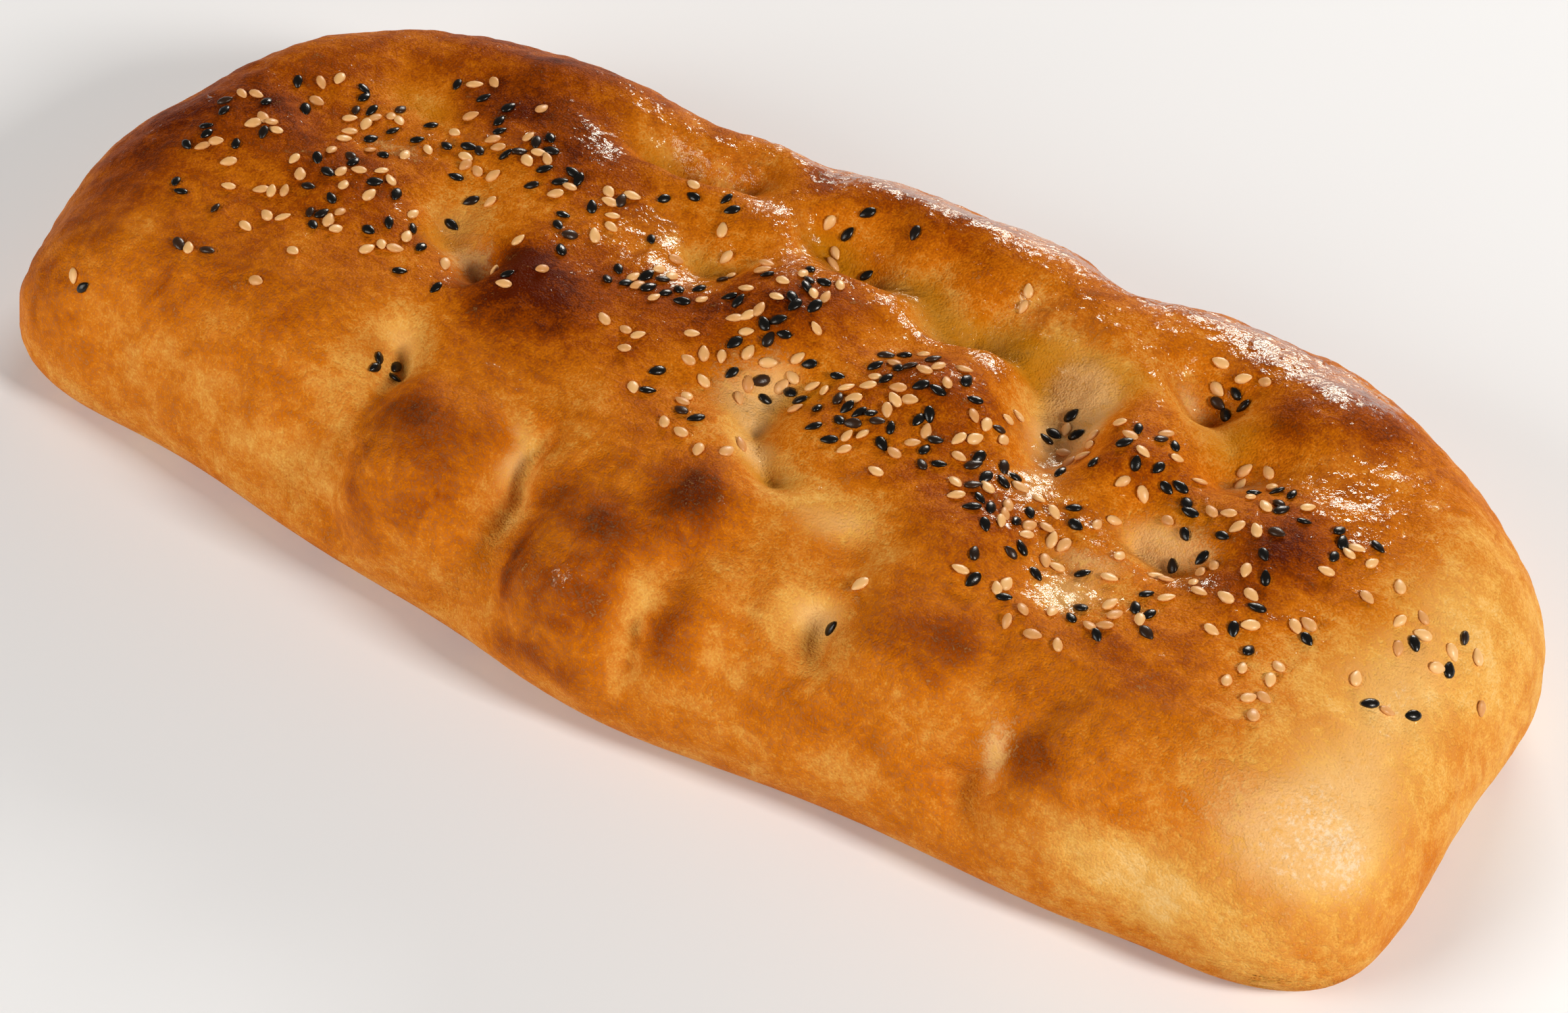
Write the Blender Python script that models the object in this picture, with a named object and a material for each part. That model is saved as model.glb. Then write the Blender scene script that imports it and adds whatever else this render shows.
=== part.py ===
"""A pide: one long oven flatbread with rounded corners, a thick smooth border, and a top that was
pressed with the fingertips before baking and strewn with pale and black sesame.

The loaf lies on its flat underside at Z = 0, with its length along X. The near long side is at -Y.
Distances in the tables are in millimetres and are turned into metres by MM.
"""

import math
import random

import bmesh
import bpy
import numpy as np
from mathutils import Euler, Matrix, Vector, noise

MM = 0.001

# Driving sizes of the loaf
LENGTH = 322 * MM
WIDTH = 140.5 * MM
TOP_HEIGHT = 42.5 * MM
CROWN = 2.0 * MM  # how much the middle stands above the border
END_SLOPE = 0.07  # share of the height that the ends lose
RIM_HEIGHT = 12 * MM  # where the side bulges out furthest
FAR_SHOULDER = 28 * MM  # how far in from the rim the side has rounded over into the top
NEAR_SHOULDER = 37 * MM
FOOT = 9 * MM  # how far the underside is drawn in below the rim
NEAR_CORNERS = 6.6  # a higher power makes squarer corners
FAR_CORNERS = 2.75
SIDE_FADE = 2.5  # a higher power keeps the lumps of a side nearer to its rim

# Where the long sides swell out or draw in: x, half width along the side, outward push
NEAR_SIDE_LUMPS = ((-114, 36, -7.0), (4, 36, 6.8), (118, 12, -1.5))
FAR_SIDE_LUMPS = ((-122, 26, 10.0), (-50, 20, -8.0), (46, 10, -7.0), (97, 30, 9.5))

# Where the two ends swell out or draw in: y, half width along the end, outward push
LEFT_END_LUMPS = ((-12, 24, 7.5),)
RIGHT_END_LUMPS = ((0, 42, -4.5),)

# A lower power makes hollows that are more pointed at the bottom and rounder at the edge
HOLLOW_POWER = 1.6

# Fingertip presses: from x, y to x, y, radius, depth
PRESSES = (
    (-66, -43, -67, -42, 5.5, 7.5),
    (-76, -6, -66, -13, 8.5, 6.0),
    (-67, -13, -66, -12, 4.0, 4.0),
    (-34, -50, -30, -58, 5.0, 4.0),
    (1, -12, 6, -19, 8.5, 4.6),
    (6, -20, 7, -18, 4.0, 1.6),
    (9, -28, 15, -31, 6.0, 4.0),
    (14, -31, 16, -31, 3.0, 1.8),
    (33, -37, 38, -40, 9.0, 2.8),
    (43, -57, 43, -56, 5.5, 6.0),
    (52, 17, 56, 9, 8.0, 7.0),
    (84, -6, 93, -8, 8.5, 5.5),
    (85, -8, 91, -9, 4.0, 3.0),
    (73, 37, 75, 38, 8.0, 8.0),
    (90, 21, 93, 23, 7.0, 5.0),
    (-10, 31, -5, 31, 7.5, 7.5),
    (-28, 13, -24, 14, 10.0, 5.5),
    (-57, 36, -52, 37, 8.0, 6.0),
    (-41, 39, -37, 40, 7.0, 4.5),
    (-110, 23, -103, 22, 11.0, 4.0),
    (-124, 8, -121, 9, 7.0, 2.4),
    (76, -27, 81, -28, 9.0, 3.6),
    (80, -66, 82, -69, 4.5, 4.0),
)

# Long hollows that join the presses: from x, y to x, y, radius, depth
FURROWS = (
    (0, 31, 26, 28, 9.5, 5.0),
    (26, 28, 47, 24, 9.0, 5.5),
    (47, 24, 54, 12, 7.0, 2.5),
    (58, 6, 70, -20, 8.5, 3.0),
    (-52, 37, -38, 39, 7.0, 3.2),
    (76, 35, 90, 24, 8.0, 3.2),
    (-104, 4, -92, 8, 7.0, 1.8),
    (-30, -62, -27, -46, 5.0, 5.0),
    (-31, -78, -27, -60, 8.0, 3.0),
    (-72, -68, -66, -46, 8.0, 2.0),
    (43, -57, 37, -42, 7.0, 2.2),
    (82, -66, 88, -52, 7.0, 2.6),
    (10, -74, 11, -58, 5.0, 3.4),
    (-80, 4, -74, -5, 6.0, 1.5),
    (-12, -22, 0, -14, 8.0, 2.2),
    (18, 16, 12, -6, 8.0, 2.6),
    (-36, 24, -44, -2, 8.0, 1.8),
    (84, 18, 80, 2, 7.0, 1.8),
    (-62, -30, -34, -38, 9.0, 2.2),
    (24, -50, 30, -66, 7.0, 2.6),
    (-63, -48, -64, -68, 5.0, 2.2),
    (-58, -45, -38, -44, 5.0, 1.6),
    (-22, -72, -20, -56, 5.0, 1.8),
    (-14, -50, 3, -54, 4.5, 1.6),
    (5, -60, 8, -70, 3.0, 2.4),
    (22, -40, 20, -52, 5.0, 1.8),
    (66, -40, 79, -46, 4.0, 1.4),
    (-20, 48, -30, 62, 7.0, 2.6),
    (118, 36, 126, 20, 9.0, 1.8),
)

# Pillows that rose between the presses: x, y, half length, half width, height
PILLOWS = (
    (-57, -16, 15, 13, 4.2),
    (-47, -62, 15, 13, 6.8),
    (-6, -66, 12, 12, 7.4),
    (18, -66, 6, 9, 2.2),
    (12, -46, 11, 9, 3.8),
    (-4, 9, 14, 11, 3.2),
    (32, 1, 15, 12, 3.2),
    (-105, -8, 22, 12, 3.0),
    (108, -2, 16, 13, 3.0),
    (72, 10, 11, 9, 3.0),
    (56, -28, 13, 10, 3.0),
    (100, 38, 13, 10, 3.4),
    (62, -55, 14, 11, 4.2),
    (101, -58, 15, 11, 4.2),
    (-40, 28, 22, 5.0, 3.2),
    (18, 20, 24, 4.0, 3.0),
    (-38, 11, 5, 10, 2.4),
    (-80, 45, 24, 8, 2.2),
    (8, 46, 26, 8, 2.8),
    (-132, 6, 12, 22, 2.0),
    (-90, -40, 18, 14, 1.6),
    (128, -40, 20, 16, 1.6),
)

# Slow unevenness of the whole crust: size of a wave and its height
SWELL_SIZE = 34 * MM
SWELL_HEIGHT = 1.1 * MM

# How presses and pillows wander off their plain round shapes: size of a wave and its reach, and
# where in the noise the waves along X, Y and Z begin
WANDER_SIZE = 15 * MM
WANDER_REACH = 4 * MM
WANDER_STARTS = (Vector((0.5, 3.7, 8.1)), Vector((31.3, 5.9, 2.4)), Vector((7.6, 42.2, 19.8)))

# Sesame: a seed's full length, width and thickness, and how high its middle lies
SEED_LENGTH = 3.5 * MM
SEED_WIDTH = 2.05 * MM
SEED_THICKNESS = 1.3 * MM
SEED_LIFT = 0.18 * MM
SEED_TAPER = 0.45  # share of the width that the pointed end loses
SEED_BELLY = 1.12  # makes up for the width that the six sides cut off
SEED_SIZES = (0.9, 1.12)  # smallest and largest seed, as shares of the full size
SEED_GAP = 2.3 * MM  # least distance between two seeds as they were strewn
FUSED_GAP = 7.4 * MM  # least distance between two seeds that the solid carries
STREWING = 7  # start of the random draws
TRIES = 60  # how often a seed looks for a free place before it is left out

# Sesame: x, y, half length, half width, pale seeds, black seeds
SEED_PATCHES = (
    (-131, -8, 10, 12, 9, 8),
    (-122, 11, 9, 8, 4, 4),
    (-107, 10, 12, 9, 9, 8),
    (-103, -8, 12, 9, 8, 7),
    (-105, -21, 11, 6, 7, 3),
    (-90, -16, 9, 10, 6, 4),
    (-90, 16, 11, 8, 6, 6),
    (-92, 30, 12, 5, 3, 3),
    (-76, 15, 10, 9, 5, 6),
    (-78, 3, 9, 7, 2, 3),
    (-75, -22, 12, 6, 2, 3),
    (-57, 12, 10, 12, 6, 8),
    (-56, -12, 10, 10, 4, 2),
    (-40, 3, 11, 9, 5, 5),
    (-37, 24, 12, 5, 1, 4),
    (-29, 0, 8, 5, 4, 6),
    (-24, 16, 9, 8, 5, 1),
    (-9, 11, 12, 10, 7, 9),
    (-8, 2, 8, 6, 3, 5),
    (-24, -14, 12, 10, 6, 1),
    (-6, -10, 11, 8, 7, 3),
    (-13, -29, 8, 7, 4, 2),
    (4, -6, 10, 10, 5, 3),
    (1, -30, 10, 7, 4, 1),
    (13, -8, 9, 8, 4, 5),
    (27, 6, 11, 8, 5, 9),
    (25, -8, 10, 8, 6, 7),
    (23, -20, 12, 7, 3, 3),
    (37, -8, 10, 10, 8, 4),
    (47, -12, 8, 8, 3, 8),
    (42, 3, 9, 8, 5, 2),
    (54, 13, 7, 8, 4, 4),
    (57, -15, 9, 10, 5, 6),
    (69, 11, 11, 9, 6, 5),
    (80, 7, 9, 9, 3, 4),
    (68, -6, 11, 10, 6, 4),
    (69, -21, 11, 8, 6, 5),
    (64, -36, 7, 5, 3, 3),
    (79, -37, 10, 6, 6, 1),
    (99, 13, 5, 6, 3, 5),
    (93, -3, 9, 8, 4, 5),
    (103, -6, 8, 11, 8, 3),
    (88, -20, 10, 8, 5, 2),
    (91, -31, 8, 6, 4, 4),
    (114, 9, 12, 9, 5, 5),
    (118, -20, 12, 10, 6, 4),
    (120, -32, 7, 7, 5, 0),
    (134, 1, 10, 12, 7, 1),
    (140, -15, 8, 8, 2, 2),
    (147, 2, 6, 9, 3, 2),
    (76, 41, 7, 5, 4, 4),
    (92, 22, 4, 2, 3, 0),
    (-66, -44, 2.5, 3, 1, 4),
    (-5, 36, 16, 9, 3, 4),
    (20, 38, 12, 5, 2, 0),
    (-120, -33, 14, 10, 3, 5),
    (-97, -38, 8, 6, 2, 0),
    (-138, -50, 5, 6, 1, 1),
    (44, -55, 2, 3, 0, 1),
    (44, -44, 3, 3, 1, 0),
)

# Mesh of the blank, and the triangles that the plain loaf keeps
CELLS_LONG = 200
CELLS_ACROSS = 104
LOAF_TRIANGLES = 5700

WELD_DISTANCE = 0.1 * MM
FLAT_BELOW = 0.05 * MM  # lower points are laid exactly on the table
UNDERSIDE_NORMAL = -0.98  # faces whose normal points down more than this are the underside

CRUST_COLOUR = (0.55, 0.22, 0.045, 1.0)
CRUST_ROUGHNESS = 0.42


def clear_scene():
    """Empties the scene of the objects that a new file starts with."""
    for item in list(bpy.data.objects):
        bpy.data.objects.remove(item)


def crust_material():
    """Egg-washed brown crust."""
    material = bpy.data.materials.new("browned_crust")
    material.use_nodes = True
    shader = material.node_tree.nodes["Principled BSDF"]
    shader.inputs["Base Color"].default_value = CRUST_COLOUR
    shader.inputs["Roughness"].default_value = CRUST_ROUGHNESS
    shader.inputs["Metallic"].default_value = 0.0
    material.diffuse_color = CRUST_COLOUR
    return material


def even_along_section(t, half):
    """Spaces grid lines evenly over the crust: t from -1 to 1 becomes a share of the half size,
    with the lines drawn together where the side turns down."""
    rise = TOP_HEIGHT - RIM_HEIGHT
    arc = math.pi / 2 * math.sqrt((FAR_SHOULDER**2 + rise**2) / 2)
    flat = half - FAR_SHOULDER
    travelled = np.abs(t) * (flat + arc)
    turn = np.clip((travelled - flat) / arc, 0, 1) * math.pi / 2
    reach = np.where(travelled < flat, travelled, flat + FAR_SHOULDER * np.sin(turn))
    return np.sign(t) * reach / half


def corner_power(y):
    """The near corners are squarer than the far ones."""
    return np.where(y > 0, FAR_CORNERS, NEAR_CORNERS)


def outline_level(across_x, across_y):
    """0 at the middle of the plan and 1 on the rounded outline."""
    power = corner_power(across_y)
    return (np.abs(across_x) ** power + np.abs(across_y) ** power) ** (1 / power)


def inset_from_rim(across_x, across_y):
    """Distance inwards from the rim at a point given as shares of the half length and half width."""
    power = corner_power(across_y)
    level = np.maximum(outline_level(across_x, across_y), 1e-6)
    slope_x = (np.abs(across_x) / level) ** (power - 1) / (LENGTH / 2)
    slope_y = (np.abs(across_y) / level) ** (power - 1) / (WIDTH / 2)
    return (1 - level) / np.maximum(np.hypot(slope_x, slope_y), 1e-6)


def lump_push(lumps, along, outwards):
    """How far a side's lumps stand out at places along it, fading towards the loaf's middle."""
    fade = np.clip(outwards, 0, 1) ** SIDE_FADE
    push = np.zeros_like(along)
    for at, half_width, amount in lumps:
        push += amount * MM * fade * np.exp(-(((along - at * MM) / (half_width * MM)) ** 2))
    return push


def side_push(x, across_y):
    """How far the uneven long sides move the crust along Y."""
    return lump_push(FAR_SIDE_LUMPS, x, across_y) - lump_push(NEAR_SIDE_LUMPS, x, -across_y)


def end_push(y, across_x):
    """How far the uneven ends move the crust along X."""
    return lump_push(RIGHT_END_LUMPS, y, across_x) - lump_push(LEFT_END_LUMPS, y, -across_x)


def upper_height(inset, across_x, across_y):
    """Height of the plain upper crust: a quarter round from the rim to the top, lower towards the
    ends, with a low crown. The near shoulder is wider than the far one."""
    near = np.clip(0.5 - across_y, 0, 1)
    shoulder = FAR_SHOULDER + (NEAR_SHOULDER - FAR_SHOULDER) * near
    short = 1 - np.clip(inset / shoulder, 0, 1)
    rise = (TOP_HEIGHT - RIM_HEIGHT) * (1 - END_SLOPE * across_x**4)
    crown = CROWN * (1 - outline_level(across_x, across_y) ** 2)
    return RIM_HEIGHT + rise * np.sqrt(1 - short**2) + crown


def lower_height(inset):
    """Height of the underside: a small quarter round below the rim, then flat on the table."""
    short = 1 - np.clip(inset / FOOT, 0, 1)
    return RIM_HEIGHT * (1 - np.sqrt(1 - short**2))


def place_on_crust(across_x, across_y, upper):
    """Points of the plain crust, for shares of the half length and half width."""
    inset = inset_from_rim(across_x, across_y)
    x = across_x * LENGTH / 2
    y = across_y * WIDTH / 2
    z = np.where(upper, upper_height(inset, across_x, across_y), lower_height(inset))
    return np.stack([x + end_push(y, across_x), y + side_push(x, across_y), z], axis=-1)


def on_upper_crust(x, y):
    """The point of the plain upper crust above or below a place of the plan, in millimetres."""
    along = np.atleast_1d(np.asarray(x, float)) * MM / (LENGTH / 2)
    wanted = np.atleast_1d(np.asarray(y, float)) * MM
    across = wanted / (WIDTH / 2)
    for _ in range(4):
        across = (wanted - side_push(along * LENGTH / 2, across)) / (WIDTH / 2)
        power = corner_power(across)
        limit = (1 - np.abs(along) ** power) ** (1 / power)
        across = np.clip(across, -0.995 * limit, 0.995 * limit)
    return place_on_crust(along, across, True)


def distance_to_stretch(points, start, end):
    """How far each point lies from the straight stretch between two points."""
    along = end - start
    share = np.clip((points - start) @ along / max(along @ along, 1e-12), 0, 1)
    return np.linalg.norm(points - start - share[:, None] * along, axis=1)


def hollow(points, x1, y1, x2, y2, radius, depth):
    """A smooth groove or pit along a stretch of the crust."""
    start, end = on_upper_crust([x1, x2], [y1, y2])
    away = distance_to_stretch(points, start, end)
    return -depth * MM * np.exp(-((away / (radius * MM)) ** HOLLOW_POWER))


def pillow(points, x, y, half_length, half_width, height):
    """A smooth swelling of the crust, longer along X or across it."""
    away = points - on_upper_crust(x, y)[0]
    across = np.hypot(away[:, 1], away[:, 2]) / (half_width * MM)
    return height * MM * np.exp(-((away[:, 0] / (half_length * MM)) ** 2 + across**2))


def swell(points):
    """Slow unevenness of the whole crust."""
    waves = [noise.noise(Vector(p) / SWELL_SIZE) for p in points]
    return SWELL_HEIGHT * np.array(waves)


def wander(points):
    """Moves points about smoothly, so that what is measured from them has uneven edges."""
    shifts = [
        [noise.noise(Vector(p) / WANDER_SIZE + start) for start in WANDER_STARTS] for p in points
    ]
    return points + WANDER_REACH * np.array(shifts)


def relief(points):
    """How far the finished crust stands out from the plain one at each point."""
    out = swell(points)
    drifted = wander(points)
    for press in PRESSES + FURROWS:
        out += hollow(drifted, *press)
    for mound in PILLOWS:
        out += pillow(drifted, *mound)
    return out


def blank_mesh():
    """A closed cushion of two grids that share their outer ring, with the lower one face down."""
    bm = bmesh.new()
    bmesh.ops.create_grid(bm, x_segments=CELLS_LONG, y_segments=CELLS_ACROSS, size=1)
    twin = bmesh.ops.duplicate(bm, geom=bm.faces[:])["geom"]
    lower_faces = [item for item in twin if isinstance(item, bmesh.types.BMFace)]
    lower_verts = [item for item in twin if isinstance(item, bmesh.types.BMVert)]
    bmesh.ops.reverse_faces(bm, faces=lower_faces)
    is_lower = set(lower_verts)
    verts = bm.verts[:]
    upper = np.array([v not in is_lower for v in verts])
    flat = np.array([v.co[:2] for v in verts])
    across_x = even_along_section(flat[:, 0], LENGTH / 2)
    across_y = even_along_section(flat[:, 1], WIDTH / 2)
    # Draws the square grid onto the rounded outline, ring by ring.
    ring = np.maximum(np.abs(across_x), np.abs(across_y))
    level = outline_level(across_x, across_y)
    shrink = np.where(level > 0, ring / np.maximum(level, 1e-9), 1)
    points = place_on_crust(across_x * shrink, across_y * shrink, upper)
    for vert, point in zip(verts, points):
        vert.co = point
    bmesh.ops.remove_doubles(bm, verts=[v for v in verts if v.is_boundary], dist=WELD_DISTANCE)
    return bm


def shape_crust(bm):
    """Gives the blank its presses, furrows and pillows, keeps the underside flat, and returns the
    middle of its plan."""
    bm.normal_update()
    points = np.array([v.co for v in bm.verts])
    normals = np.array([v.normal for v in bm.verts])
    fade = np.clip(points[:, 2] / RIM_HEIGHT, 0, 1) ** 2
    fade[normals[:, 2] < UNDERSIDE_NORMAL] = 0
    points += normals * (relief(points) * fade)[:, None]
    points[:, 2] = np.maximum(points[:, 2], 0)
    for vert, point in zip(bm.verts, points):
        vert.co = point
    middle = (points.min(axis=0) + points.max(axis=0)) / 2
    return Vector((middle[0], middle[1], 0.0))


def join_collection(target, collection, solver):
    """Fuses the collection's solids to the target and removes them."""
    bpy.context.view_layer.objects.active = target
    join = target.modifiers.new("fused_seeds", "BOOLEAN")
    join.operation = "UNION"
    join.operand_type = "COLLECTION"
    join.collection = collection
    join.solver = solver
    bpy.ops.object.modifier_apply(modifier=join.name)
    for item in list(collection.objects):
        bpy.data.objects.remove(item)
    bpy.data.collections.remove(collection)


def loaf_object(material):
    """The loaf without seeds, brought down to a few thousand triangles where it is smooth, and
    the middle of its plan, which is moved to the origin."""
    bm = blank_mesh()
    middle = shape_crust(bm)
    bmesh.ops.triangulate(bm, faces=bm.faces[:])
    bmesh.ops.translate(bm, verts=bm.verts[:], vec=-middle)
    triangles = len(bm.faces)
    mesh = bpy.data.meshes.new("pide")
    bm.to_mesh(mesh)
    bm.free()
    mesh.materials.append(material)
    loaf = bpy.data.objects.new("pide", mesh)
    bpy.context.scene.collection.objects.link(loaf)
    bpy.context.view_layer.objects.active = loaf
    thin = loaf.modifiers.new("fewer_faces", "DECIMATE")
    thin.ratio = LOAF_TRIANGLES / triangles
    bpy.ops.object.modifier_apply(modifier=thin.name)
    for vert in loaf.data.vertices:
        if vert.co.z < FLAT_BELOW:
            vert.co.z = 0.0
    return loaf, middle


def seed_mesh():
    """One sesame seed: a flat drop with six sides, blunt at one end and pointed at the other."""
    bm = bmesh.new()
    bmesh.ops.create_uvsphere(bm, u_segments=6, v_segments=3, radius=0.5)
    bmesh.ops.rotate(bm, verts=bm.verts[:], matrix=Matrix.Rotation(math.pi / 2, 3, "Y"))
    for vert in bm.verts:
        narrow = 1 - SEED_TAPER * max(0.0, vert.co.x + 0.1)
        vert.co.x *= SEED_LENGTH
        vert.co.y *= SEED_WIDTH * narrow * SEED_BELLY
        vert.co.z *= SEED_THICKNESS * narrow
    mesh = bpy.data.meshes.new("sesame")
    bm.to_mesh(mesh)
    bm.free()
    return mesh


def is_clear(x, y, spots, gap):
    """Whether a place of the plan keeps its distance from all the spots."""
    return all(math.hypot(x - spot[0], y - spot[1]) > gap for spot in spots)


def seed_spots():
    """Plan positions, directions and sizes of the seeds that the solid carries: of all that were
    strewn, the largest first, none too near another."""
    draw = random.Random(STREWING)
    strewn = []
    for x, y, half_length, half_width, pale, black in SEED_PATCHES:
        kinds = [False] * pale + [True] * black
        draw.shuffle(kinds)
        for _ in kinds:
            for _ in range(TRIES):
                angle = draw.uniform(0, 2 * math.pi)
                reach = math.sqrt(draw.random())
                spot_x = (x + half_length * reach * math.cos(angle)) * MM
                spot_y = (y + half_width * reach * math.sin(angle)) * MM
                if is_clear(spot_x, spot_y, strewn, SEED_GAP):
                    turn = draw.uniform(0, 2 * math.pi)
                    strewn.append((spot_x, spot_y, turn, draw.uniform(*SEED_SIZES)))
                    break
    fused = []
    for spot in sorted(strewn, key=lambda seed: -seed[3]):
        if is_clear(spot[0], spot[1], fused, FUSED_GAP):
            fused.append(spot)
    return fused


def lay_seeds(loaf, middle):
    """Lays each seed on the crust below its spot, flat on the slope, in a collection."""
    collection = bpy.data.collections.new("sesame")
    bpy.context.scene.collection.children.link(collection)
    mesh = seed_mesh()
    bpy.context.view_layer.update()
    for number, (x, y, turn, size) in enumerate(seed_spots()):
        above = Vector((x, y, 2 * TOP_HEIGHT)) - middle
        found, point, normal, _ = loaf.ray_cast(above, Vector((0, 0, -1)))
        if not found:
            continue
        seed = bpy.data.objects.new(f"sesame_{number}", mesh)
        lean = normal.to_track_quat("Z", "X")
        seed.rotation_mode = "QUATERNION"
        seed.rotation_quaternion = lean @ Euler((0, 0, turn)).to_quaternion()
        seed.location = point + normal * SEED_LIFT
        seed.scale = (size, size, size)
        collection.objects.link(seed)
    return collection


def main():
    clear_scene()
    loaf, middle = loaf_object(crust_material())
    seeds = lay_seeds(loaf, middle)
    join_collection(loaf, seeds, "EXACT")
    loaf.data.shade_smooth()


main()
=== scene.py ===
"""A pide: one long flatbread, egg-washed and browned, with pale and black sesame on its top.

The loaf lies on its flat underside at Z = 0, with its length along X and its near long side at -Y.
Distances in the tables are in millimetres and are turned into metres by MM.
"""

import math
import random

import bmesh
import bpy
import numpy as np
from bpy.props import FloatProperty, FloatVectorProperty, IntProperty, PointerProperty
from mathutils import Euler, Matrix, Vector, noise


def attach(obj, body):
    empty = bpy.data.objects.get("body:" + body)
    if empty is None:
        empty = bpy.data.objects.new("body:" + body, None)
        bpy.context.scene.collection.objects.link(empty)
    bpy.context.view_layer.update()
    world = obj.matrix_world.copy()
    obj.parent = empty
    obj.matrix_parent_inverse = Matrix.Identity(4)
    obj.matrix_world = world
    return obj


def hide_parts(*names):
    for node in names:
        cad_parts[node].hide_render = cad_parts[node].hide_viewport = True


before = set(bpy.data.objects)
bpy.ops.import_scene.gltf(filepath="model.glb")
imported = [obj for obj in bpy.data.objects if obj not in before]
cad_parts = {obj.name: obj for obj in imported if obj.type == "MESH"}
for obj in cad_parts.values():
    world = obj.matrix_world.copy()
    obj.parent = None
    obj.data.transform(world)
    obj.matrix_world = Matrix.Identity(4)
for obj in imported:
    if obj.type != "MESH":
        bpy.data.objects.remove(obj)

bl_info = {
    "name": "Pide",
    "version": (1, 0, 0),
    "blender": (4, 5, 0),
    "location": "3D View > Sidebar > Pide",
    "description": "Bakes a dimpled flatbread and strews sesame on it",
    "category": "Add Mesh",
}

MM = 0.001
TINY = 1e-9

# Where the long sides swell out or draw in: x, half width along the side, outward push
NEAR_SIDE_LUMPS = ((-114, 36, -7.0), (4, 36, 6.8), (118, 12, -1.5))
FAR_SIDE_LUMPS = ((-122, 26, 10.0), (-50, 20, -8.0), (46, 10, -7.0), (97, 30, 9.5))

# Where the two ends swell out or draw in: y, half width along the end, outward push
LEFT_END_LUMPS = ((-12, 24, 7.5),)
RIGHT_END_LUMPS = ((0, 42, -4.5),)

# A higher power keeps the lumps of a side nearer to its rim
SIDE_FADE = 2.5

# A lower power makes hollows that are more pointed at the bottom and rounder at the edge
HOLLOW_POWER = 1.6

# A place of the tables is looked for in this many rounds, and no nearer to the rim than this share
SETTLING_ROUNDS = 4
INSIDE_RIM = 0.995

# Fingertip presses: from x, y to x, y, radius, depth
PRESSES = (
    (-66, -43, -67, -42, 5.5, 7.5),
    (-76, -6, -66, -13, 8.5, 6.0),
    (-67, -13, -66, -12, 4.0, 4.0),
    (-34, -50, -30, -58, 5.0, 4.0),
    (1, -12, 6, -19, 8.5, 4.6),
    (6, -20, 7, -18, 4.0, 1.6),
    (9, -28, 15, -31, 6.0, 4.0),
    (14, -31, 16, -31, 3.0, 1.8),
    (33, -37, 38, -40, 9.0, 2.8),
    (43, -57, 43, -56, 5.5, 6.0),
    (52, 17, 56, 9, 8.0, 7.0),
    (84, -6, 93, -8, 8.5, 5.5),
    (85, -8, 91, -9, 4.0, 3.0),
    (73, 37, 75, 38, 8.0, 8.0),
    (90, 21, 93, 23, 7.0, 5.0),
    (-10, 31, -5, 31, 7.5, 7.5),
    (-28, 13, -24, 14, 10.0, 5.5),
    (-57, 36, -52, 37, 8.0, 6.0),
    (-41, 39, -37, 40, 7.0, 4.5),
    (-110, 23, -103, 22, 11.0, 4.0),
    (-124, 8, -121, 9, 7.0, 2.4),
    (76, -27, 81, -28, 9.0, 3.6),
    (80, -66, 82, -69, 4.5, 4.0),
)

# Long hollows that join the presses: from x, y to x, y, radius, depth
FURROWS = (
    (0, 31, 26, 28, 9.5, 5.0),
    (26, 28, 47, 24, 9.0, 5.5),
    (47, 24, 54, 12, 7.0, 2.5),
    (58, 6, 70, -20, 8.5, 3.0),
    (-52, 37, -38, 39, 7.0, 3.2),
    (76, 35, 90, 24, 8.0, 3.2),
    (-104, 4, -92, 8, 7.0, 1.8),
    (-30, -62, -27, -46, 5.0, 5.0),
    (-31, -78, -27, -60, 8.0, 3.0),
    (-72, -68, -66, -46, 8.0, 2.0),
    (43, -57, 37, -42, 7.0, 2.2),
    (82, -66, 88, -52, 7.0, 2.6),
    (10, -74, 11, -58, 5.0, 3.4),
    (-80, 4, -74, -5, 6.0, 1.5),
    (-12, -22, 0, -14, 8.0, 2.2),
    (18, 16, 12, -6, 8.0, 2.6),
    (-36, 24, -44, -2, 8.0, 1.8),
    (84, 18, 80, 2, 7.0, 1.8),
    (-62, -30, -34, -38, 9.0, 2.2),
    (24, -50, 30, -66, 7.0, 2.6),
    (-63, -48, -64, -68, 5.0, 2.2),
    (-58, -45, -38, -44, 5.0, 1.6),
    (-22, -72, -20, -56, 5.0, 1.8),
    (-14, -50, 3, -54, 4.5, 1.6),
    (5, -60, 8, -70, 3.0, 2.4),
    (22, -40, 20, -52, 5.0, 1.8),
    (66, -40, 79, -46, 4.0, 1.4),
    (-20, 48, -30, 62, 7.0, 2.6),
    (118, 36, 126, 20, 9.0, 1.8),
)

# Pillows that rose between the presses: x, y, half length, half width, height
PILLOWS = (
    (-57, -16, 15, 13, 4.2),
    (-47, -62, 15, 13, 6.8),
    (-6, -66, 12, 12, 7.4),
    (18, -66, 6, 9, 2.2),
    (12, -46, 11, 9, 3.8),
    (-4, 9, 14, 11, 3.2),
    (32, 1, 15, 12, 3.2),
    (-105, -8, 22, 12, 3.0),
    (108, -2, 16, 13, 3.0),
    (72, 10, 11, 9, 3.0),
    (56, -28, 13, 10, 3.0),
    (100, 38, 13, 10, 3.4),
    (62, -55, 14, 11, 4.2),
    (101, -58, 15, 11, 4.2),
    (-40, 28, 22, 5.0, 3.2),
    (18, 20, 24, 4.0, 3.0),
    (-38, 11, 5, 10, 2.4),
    (-80, 45, 24, 8, 2.2),
    (8, 46, 26, 8, 2.8),
    (-132, 6, 12, 22, 2.0),
    (-90, -40, 18, 14, 1.6),
    (128, -40, 20, 16, 1.6),
)

# Slow unevenness of the whole crust: size of a wave and its height
SWELL_SIZE = 34 * MM
SWELL_HEIGHT = 1.1 * MM

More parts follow.
